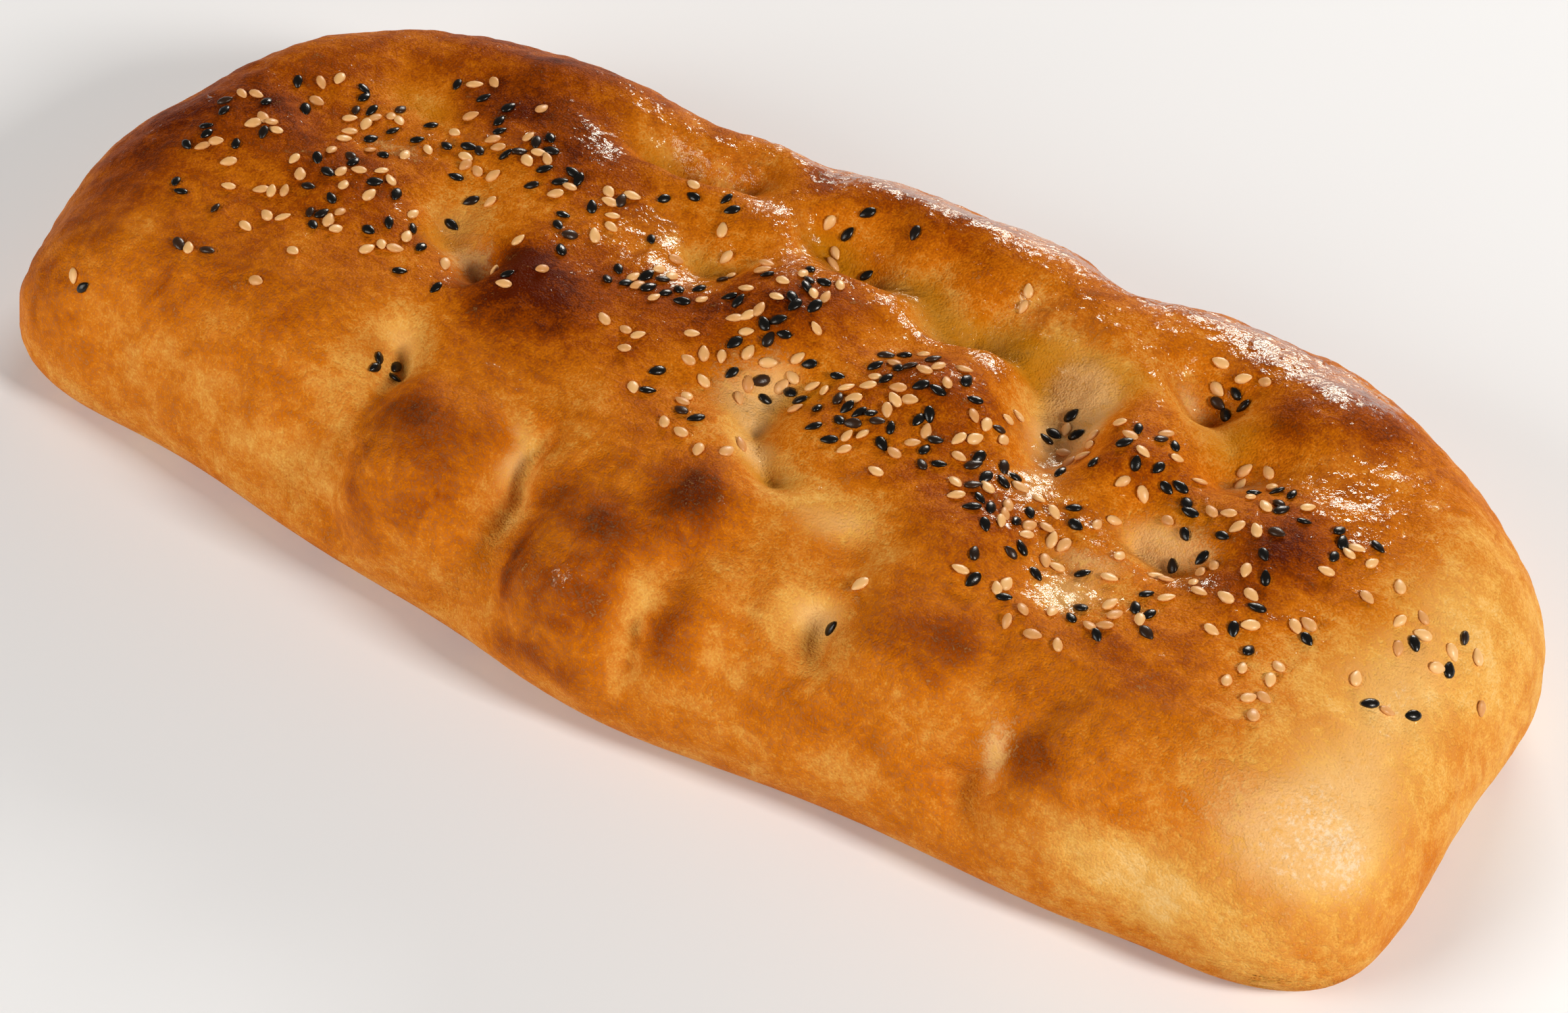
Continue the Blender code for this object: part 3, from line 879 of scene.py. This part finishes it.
def wrap_section(loaf, t, half):
    """Spaces grid lines evenly over the crust: t from -1 to 1 becomes 0 at the middle, 1 at the
    rim and 2 where the flat underside begins."""
    rise = loaf.top_height - loaf.rim_height
    upper_arc = math.pi / 2 * math.sqrt((loaf.far_shoulder**2 + rise**2) / 2)
    lower_arc = math.pi / 2 * math.sqrt((loaf.foot**2 + loaf.rim_height**2) / 2)
    flat = half - loaf.far_shoulder
    travelled = np.abs(t) * (flat + upper_arc + lower_arc)
    turn = np.clip((travelled - flat) / upper_arc, 0, 1) * math.pi / 2
    reach = np.where(travelled < flat, travelled, flat + loaf.far_shoulder * np.sin(turn)) / half
    under = np.clip((travelled - flat - upper_arc) / lower_arc, 0, 1)
    return np.sign(t) * (reach + under)


def corner_power(loaf, y):
    """The near corners are squarer than the far ones."""
    return np.where(y > 0, loaf.far_corners, loaf.near_corners)


def outline_level(loaf, across_x, across_y):
    """0 at the middle of the plan and 1 on the rounded outline."""
    power = corner_power(loaf, across_y)
    return (np.abs(across_x) ** power + np.abs(across_y) ** power) ** (1 / power)


def outline_slope(loaf, across_x, across_y, level):
    """How fast the level rises per metre towards the outline."""
    power = corner_power(loaf, across_y)
    slope_x = (np.abs(across_x) / level) ** (power - 1) / (loaf.length / 2)
    slope_y = (np.abs(across_y) / level) ** (power - 1) / (loaf.width / 2)
    return np.maximum(np.hypot(slope_x, slope_y), TINY)


def lump_push(lumps, along, outwards):
    """How far a side's lumps stand out at places along it, fading towards the loaf's middle."""
    fade = np.clip(outwards, 0, 1) ** SIDE_FADE
    push = np.zeros_like(along)
    for at, half_width, amount in lumps:
        push += amount * MM * fade * np.exp(-(((along - at * MM) / (half_width * MM)) ** 2))
    return push


def side_push(x, across_y):
    """How far the uneven long sides move the crust along Y."""
    return lump_push(FAR_SIDE_LUMPS, x, across_y) - lump_push(NEAR_SIDE_LUMPS, x, -across_y)


def end_push(y, across_x):
    """How far the uneven ends move the crust along X."""
    return lump_push(RIGHT_END_LUMPS, y, across_x) - lump_push(LEFT_END_LUMPS, y, -across_x)


def place_on_crust(loaf, across_x, across_y, under=0.0):
    """Points of the plain crust for shares of the half length and half width, or below the rim."""
    level = np.maximum(outline_level(loaf, across_x, across_y), TINY)
    slope = outline_slope(loaf, across_x, across_y, level)
    near = np.clip(0.5 - across_y, 0, 1)
    shoulder = loaf.far_shoulder + (loaf.near_shoulder - loaf.far_shoulder) * near
    short = 1 - np.clip((1 - level) / slope / shoulder, 0, 1)
    rise = (loaf.top_height - loaf.rim_height) * (1 - loaf.end_slope * across_x**4)
    upper = loaf.rim_height + rise * np.sqrt(1 - short**2) + loaf.crown * (1 - level**2)
    turn = under * math.pi / 2
    inwards = 1 - loaf.foot * (1 - np.cos(turn)) * slope
    lower = loaf.rim_height * (1 - np.sin(turn))
    x = across_x * inwards * loaf.length / 2
    y = across_y * inwards * loaf.width / 2
    pushed_x = x + end_push(y, across_x * inwards)
    pushed_y = y + side_push(x, across_y * inwards)
    return np.stack([pushed_x, pushed_y, np.where(under > 0, lower, upper)], axis=-1)


def on_upper_crust(loaf, x, y):
    """The point of the plain upper crust above or below a place of the plan, in millimetres."""
    along = np.atleast_1d(np.asarray(x, float)) * MM / (loaf.length / 2)
    wanted = np.atleast_1d(np.asarray(y, float)) * MM
    across = wanted / (loaf.width / 2)
    # Each round allows better for the push of the uneven sides at the place found so far.
    for _ in range(SETTLING_ROUNDS):
        across = (wanted - side_push(along * loaf.length / 2, across)) / (loaf.width / 2)
        power = corner_power(loaf, across)
        limit = INSIDE_RIM * (1 - np.abs(along) ** power) ** (1 / power)
        across = np.clip(across, -limit, limit)
    return place_on_crust(loaf, along, across)


def distance_to_stretch(points, start, end):
    """How far each point lies from the straight stretch between two points."""
    along = end - start
    share = np.clip((points - start) @ along / max(along @ along, TINY), 0, 1)
    return np.linalg.norm(points - start - share[:, None] * along, axis=1)


def hollow(loaf, points, x1, y1, x2, y2, radius, depth):
    """A smooth groove or pit along a stretch of the crust."""
    start, end = on_upper_crust(loaf, [x1, x2], [y1, y2])
    away = distance_to_stretch(points, start, end)
    return -depth * MM * np.exp(-((away / (radius * MM)) ** HOLLOW_POWER))


def spot(loaf, points, x, y, half_length, half_width):
    """A soft round spot on the crust that is 1 at its middle."""
    away = points - on_upper_crust(loaf, x, y)[0]
    across = np.hypot(away[:, 1], away[:, 2]) / (half_width * MM)
    return np.exp(-((away[:, 0] / (half_length * MM)) ** 2 + across**2))


def spots(loaf, points, table):
    """The sum of a table's spots, each times its last number."""
    total = np.zeros(len(points))
    for *place, amount in table:
        total += amount * spot(loaf, points, *place)
    return total


def waves(points, size, octaves):
    """Smooth noise about 0 at each point, with features about size across."""
    return np.array([noise.fractal(Vector(p) / size, 1.0, 2.0, octaves) for p in points])


def wander(points):
    """Moves points about smoothly, so that what is drawn from them has uneven edges."""
    shifts = [
        [noise.noise(Vector(p) / WANDER_SIZE + start) for start in WANDER_STARTS] for p in points
    ]
    return points + WANDER_REACH * np.array(shifts)


def large_relief(loaf, points):
    """How far presses and pillows stand out from the plain crust at each point."""
    out = SWELL_HEIGHT * np.array([noise.noise(Vector(p) / SWELL_SIZE) for p in points])
    drifted = wander(points)
    for press in PRESSES + FURROWS:
        out += hollow(loaf, drifted, *press)
    out += MM * spots(loaf, drifted, PILLOWS)
    return out


def fine_relief(points):
    """Ripples and pimples of the baked skin."""
    ripples = RIPPLE_HEIGHT * waves(points, RIPPLE_SIZE, octaves=2)
    pimples = PIMPLE_HEIGHT * waves(points + PIMPLE_SHIFT, PIMPLE_SIZE, octaves=2)
    return ripples + pimples


def blank_mesh(loaf):
    """A grid wrapped over the top and sides of the loaf, with its arrays of plain points."""
    bm = bmesh.new()
    bmesh.ops.create_grid(bm, x_segments=loaf.cells_long, y_segments=loaf.cells_across, size=1)
    flat = np.array([v.co[:2] for v in bm.verts])
    wrapped_x = wrap_section(loaf, flat[:, 0], loaf.length / 2)
    wrapped_y = wrap_section(loaf, flat[:, 1], loaf.width / 2)
    ring = np.maximum(np.abs(wrapped_x), np.abs(wrapped_y))
    under = np.clip(ring - 1, 0, 1)
    across_x = wrapped_x / np.maximum(ring, 1)
    across_y = wrapped_y / np.maximum(ring, 1)
    # Draws the square grid onto the rounded outline, ring by ring.
    level = outline_level(loaf, across_x, across_y)
    shrink = np.where(level > 0, np.minimum(ring, 1) / np.maximum(level, TINY), 1)
    points = place_on_crust(loaf, across_x * shrink, across_y * shrink, under)
    return bm, points


def move_verts(bm, points):
    """Puts each vertex at its point."""
    for vert, point in zip(bm.verts, points):
        vert.co = point
    bm.normal_update()


def ramp(values, low, high):
    """0 at low, 1 at high and straight in between."""
    return np.clip((values - low) / (high - low), 0, 1)


def crust_masks(loaf, plain, normals, raised):
    """Browning with some painted shade, bare dough, oil, egg wash and flour at each point, from the
    shape and the tables.
    """
    drifted = wander(plain)
    height = plain[:, 2]
    up = normals[:, 2]
    side = ramp(height, loaf.top_height, 0)
    foot = ramp(height, FOOT_HEIGHT, 0)
    below = np.clip(-up, 0, 1)
    # The foot of the side is darkened here with painted shade, and the left end partly so through
    # the tones.
    browning = TOP_BROWNING - SIDE_PALING * side + FOOT_PAINTED_SHADE * foot
    browning += TONE_STRENGTH * spots(loaf, drifted, TONES)
    browning += RAISED_BROWNING * np.clip(raised / MM, *RAISED_RANGE)
    browning += below * (UNDERSIDE_BROWNING - browning)
    washed = ramp(up, *WASHED_SLOPE) * np.maximum(ramp(plain[:, 1], *WASHED_WIDTH), LEAST_WASHED)
    thick = np.minimum(spots(loaf, drifted, GLAZED), 1)
    return {
        "browning": browning,
        "bare": np.minimum(spots(loaf, drifted, BARE_DOUGH), BAREST),
        "oiled": spots(loaf, drifted, OILED),
        "gloss": THIN_WASH * washed + THICK_WASH * thick,
        "dry": np.minimum(1 + LEAST_DRY - washed, 1),
        "flour": FOOT_FLOUR * foot + UNDERSIDE_FLOUR * below + spots(loaf, drifted, FLOURED),
    }


def store(mesh, name, values):
    """Stores a number for each vertex."""
    layer = mesh.attributes.new(name, "FLOAT", "POINT")
    layer.data.foreach_set("value", np.asarray(values, np.float32))


def crust_mesh(loaf):
    """The crust with its masks, centred on its plan, and where the middle of the plan was."""
    bm, plain = blank_mesh(loaf)
    move_verts(bm, plain)
    normals = np.array([v.normal for v in bm.verts])
    fade = np.clip(plain[:, 2] / loaf.rim_height, 0, 1) ** 2
    large = large_relief(loaf, plain) * fade
    shaped = plain + normals * large[:, None]
    middle = (shaped.min(axis=0) + shaped.max(axis=0)) / 2
    middle[2] = 0
    shaped += normals * (fine_relief(plain) * fade)[:, None]
    shaped[:, 2] = np.maximum(shaped[:, 2], 0)
    masks = crust_masks(loaf, plain, normals, large)
    move_verts(bm, shaped - middle)
    bmesh.ops.holes_fill(bm, edges=[e for e in bm.edges if e.is_boundary], sides=0)
    bmesh.ops.recalc_face_normals(bm, faces=bm.faces[:])
    mesh = bpy.data.meshes.new("pide_crust")
    bm.to_mesh(mesh)
    bm.free()
    for name, values in masks.items():
        store(mesh, name, values)
    return mesh, middle


def is_clear(x, y, strewn, gap):
    """Whether a place is further than the gap from every seed so far."""
    return all(math.hypot(x - seed[0], y - seed[1]) > gap for seed in strewn)


def seed_spots(gap):
    """Plan positions, directions, sizes and kinds of the seeds, patch by patch."""
    draw = random.Random(STREWING)
    strewn = []
    for x, y, half_length, half_width, pale, black in SEED_PATCHES:
        kinds = [False] * pale + [True] * black
        draw.shuffle(kinds)
        for is_black in kinds:
            for _ in range(TRIES):
                angle = draw.uniform(0, 2 * math.pi)
                reach = math.sqrt(draw.random())
                spot_x = (x + half_length * reach * math.cos(angle)) * MM
                spot_y = (y + half_width * reach * math.sin(angle)) * MM
                if is_clear(spot_x, spot_y, strewn, gap):
                    turn = draw.uniform(0, 2 * math.pi)
                    strewn.append((spot_x, spot_y, turn, draw.uniform(*SEED_SIZES), is_black))
                    break
    return strewn


def seed_mesh(sesame, around=10, along=6):
    """One sesame seed: a flat drop, blunt at one end and pointed at the other."""
    bm = bmesh.new()
    bmesh.ops.create_uvsphere(bm, u_segments=around, v_segments=along, radius=0.5)
    bmesh.ops.rotate(bm, verts=bm.verts[:], matrix=Matrix.Rotation(math.pi / 2, 3, "Y"))
    for vert in bm.verts:
        narrow = 1 - SEED_TAPER * max(0.0, vert.co.x + TAPER_START) ** TAPER_POWER
        vert.co.x *= sesame.length
        vert.co.y *= sesame.width * narrow * SEED_BELLY
        vert.co.z *= sesame.thickness * narrow
    return bm


def add_to(whole, part):
    """Copies a small mesh into a larger one."""
    scratch = bpy.data.meshes.new("scratch")
    part.to_mesh(scratch)
    part.free()
    whole.from_mesh(scratch)
    bpy.data.meshes.remove(scratch)


def finished_piece(name, mesh, material):
    """Links a piece at the origin and lets it ride with the loaf's body."""
    piece = bpy.data.objects.new(name, mesh)
    bpy.context.scene.collection.objects.link(piece)
    mesh.materials.append(material)
    mesh.shade_smooth()
    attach(piece, "root")
    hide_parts("pide")
    return piece


def strew(sesame, is_black, name, material):
    """Lays the seeds of one kind on the crust and joins them in one mesh."""
    crust = bpy.data.objects["pide_crust"]
    middle = Vector(crust["middle_of_plan"])
    draw = random.Random(TILTING + is_black)
    pattern = seed_mesh(sesame)
    whole = bmesh.new()
    tones = []
    for x, y, turn, size, kind in seed_spots(sesame.gap):
        if kind != is_black:
            continue
        above = Vector((x, y, DROP_HEIGHT)) - middle
        found, point, normal, _ = crust.ray_cast(above, Vector((0, 0, -1)))
        if not found:
            continue
        tilt = Euler((draw.gauss(0, LEAN_SPREAD), draw.gauss(0, PITCH_SPREAD), turn))
        turned = normal.to_track_quat("Z", "X") @ tilt.to_quaternion()
        stretch = size * Vector((1, draw.uniform(*SEED_WIDTHS), draw.uniform(*SEED_THICKNESSES)))
        seed = pattern.copy()
        seed.transform(Matrix.LocRotScale(point + normal * sesame.lift, turned, stretch))
        tones += [draw.random()] * len(seed.verts)
        add_to(whole, seed)
    mesh = bpy.data.meshes.new(name)
    whole.to_mesh(mesh)
    whole.free()
    pattern.free()
    store(mesh, "tone", tones)
    return finished_piece(name, mesh, material)


def soft_light(name, place, size, power):
    """A soft box that points at the loaf; size is its width and height."""
    light = bpy.data.lights.new(name, "AREA")
    light.shape = "RECTANGLE"
    light.size, light.size_y = size
    light.energy = power
    light.color = LAMP_COLOUR
    lamp = bpy.data.objects.new(name, light)
    lamp.location = place
    lamp.rotation_mode = "QUATERNION"
    lamp.rotation_quaternion = (Vector(LAMP_AIM) - Vector(place)).to_track_quat("-Z", "Y")
    bpy.context.scene.collection.objects.link(lamp)


class PIDE_OT_bake_crust(bpy.types.Operator):
    """Shape the loaf's crust and brown it"""

    bl_idname = "pide.bake_crust"
    bl_label = "Bake the crust"
    bl_options = {"REGISTER", "UNDO"}

    def execute(self, context):
        mesh, middle = crust_mesh(context.scene.pide_loaf)
        finish = crust_finish(context.scene.pide_colours)
        piece = finished_piece("pide_crust", mesh, finish)
        piece["middle_of_plan"] = tuple(middle)
        return {"FINISHED"}


class PIDE_OT_strew_pale_sesame(bpy.types.Operator):
    """Strew the pale sesame on the crust"""

    bl_idname = "pide.strew_pale_sesame"
    bl_label = "Strew the pale sesame"
    bl_options = {"REGISTER", "UNDO"}

    def execute(self, context):
        finish = pale_sesame_finish(context.scene.pide_colours)
        strew(context.scene.pide_sesame, False, "pale_sesame", finish)
        return {"FINISHED"}


class PIDE_OT_strew_black_sesame(bpy.types.Operator):
    """Strew the black sesame on the crust"""

    bl_idname = "pide.strew_black_sesame"
    bl_label = "Strew the black sesame"
    bl_options = {"REGISTER", "UNDO"}

    def execute(self, context):
        finish = black_sesame_finish(context.scene.pide_colours)
        strew(context.scene.pide_sesame, True, "black_sesame", finish)
        return {"FINISHED"}


class PIDE_OT_set_stage(bpy.types.Operator):
    """Lay the floor, hang the lights and place the camera"""

    bl_idname = "pide.set_stage"
    bl_label = "Set the stage"
    bl_options = {"REGISTER", "UNDO"}

    def execute(self, context):
        stage = context.scene.pide_stage
        self.lay_floor(context, stage)
        self.hang_lights(context, stage)
        self.place_camera(context, stage)
        return {"FINISHED"}

    def lay_floor(self, context, stage):
        bm = bmesh.new()
        bmesh.ops.create_grid(bm, x_segments=1, y_segments=1, size=FLOOR_REACH)
        mesh = bpy.data.meshes.new("floor")
        bm.to_mesh(mesh)
        bm.free()
        floor = bpy.data.objects.new("floor", mesh)
        floor.location.z = -FLOOR_GAP
        context.scene.collection.objects.link(floor)
        recipe = Recipe("pale_floor", Roughness=0.9, Base_Color=stage.floor)
        mesh.materials.append(recipe.material)

    def hang_lights(self, context, stage):
        world = bpy.data.worlds.new("room")
        world.use_nodes = True
        background = world.node_tree.nodes["Background"]
        background.inputs["Color"].default_value = (*ROOM_COLOUR, 1.0)
        background.inputs["Strength"].default_value = stage.room_light
        context.scene.world = world
        context.scene.view_settings.view_transform = "Standard"
        for name, (place, size) in LAMPS.items():
            soft_light(name, place, size, getattr(stage, name))

    def place_camera(self, context, stage):
        around, up = stage.azimuth, stage.elevation
        back = Vector((
            math.sin(around) * math.cos(up), -math.cos(around) * math.cos(up), math.sin(up),
        ))
        right = Vector((math.cos(around), math.sin(around), 0.0))
        above = back.cross(right)
        lens = bpy.data.cameras.new("camera")
        lens.lens = stage.lens
        lens.sensor_width = SENSOR_WIDTH
        lens.clip_start = 10 * MM
        camera = bpy.data.objects.new("camera", lens)
        middle_of_plan = Vector(bpy.data.objects["pide_crust"]["middle_of_plan"])
        loaf_middle = Vector((0, 0, LOAF_MIDDLE_HEIGHT)) - middle_of_plan
        picture_middle = loaf_middle - above * PICTURE_DROP - right * PICTURE_SHIFT
        camera.location = loaf_middle + back * stage.distance
        camera.rotation_mode = "QUATERNION"
        camera.rotation_quaternion = (picture_middle - camera.location).to_track_quat("-Z", "Y")
        context.scene.collection.objects.link(camera)
        context.scene.camera = camera


class PIDE_PT_bakery(bpy.types.Panel):
    """Lists the steps that make the pide"""

    bl_idname = "PIDE_PT_bakery"
    bl_label = "Pide"
    bl_space_type = "VIEW_3D"
    bl_region_type = "UI"
    bl_category = "Pide"

    def draw(self, context):
        for operator in OPERATORS:
            self.layout.operator(operator.bl_idname)


OPERATORS = (
    PIDE_OT_bake_crust,
    PIDE_OT_strew_pale_sesame,
    PIDE_OT_strew_black_sesame,
    PIDE_OT_set_stage,
)

SETTINGS = {
    "pide_loaf": PideLoafSizes,
    "pide_sesame": PideSesameSizes,
    "pide_colours": PideColours,
    "pide_stage": PideStage,
}


def register():
    for group in SETTINGS.values():
        bpy.utils.register_class(group)
    for name, group in SETTINGS.items():
        setattr(bpy.types.Scene, name, PointerProperty(type=group))
    for operator in OPERATORS:
        bpy.utils.register_class(operator)
    bpy.utils.register_class(PIDE_PT_bakery)


def unregister():
    bpy.utils.unregister_class(PIDE_PT_bakery)
    for operator in reversed(OPERATORS):
        bpy.utils.unregister_class(operator)
    for name, group in SETTINGS.items():
        delattr(bpy.types.Scene, name)
        bpy.utils.unregister_class(group)


def main():
    register()
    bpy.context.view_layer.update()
    bpy.ops.pide.bake_crust()
    bpy.ops.pide.strew_pale_sesame()
    bpy.ops.pide.strew_black_sesame()
    bpy.ops.pide.set_stage()


if __name__ == "__main__":
    main()
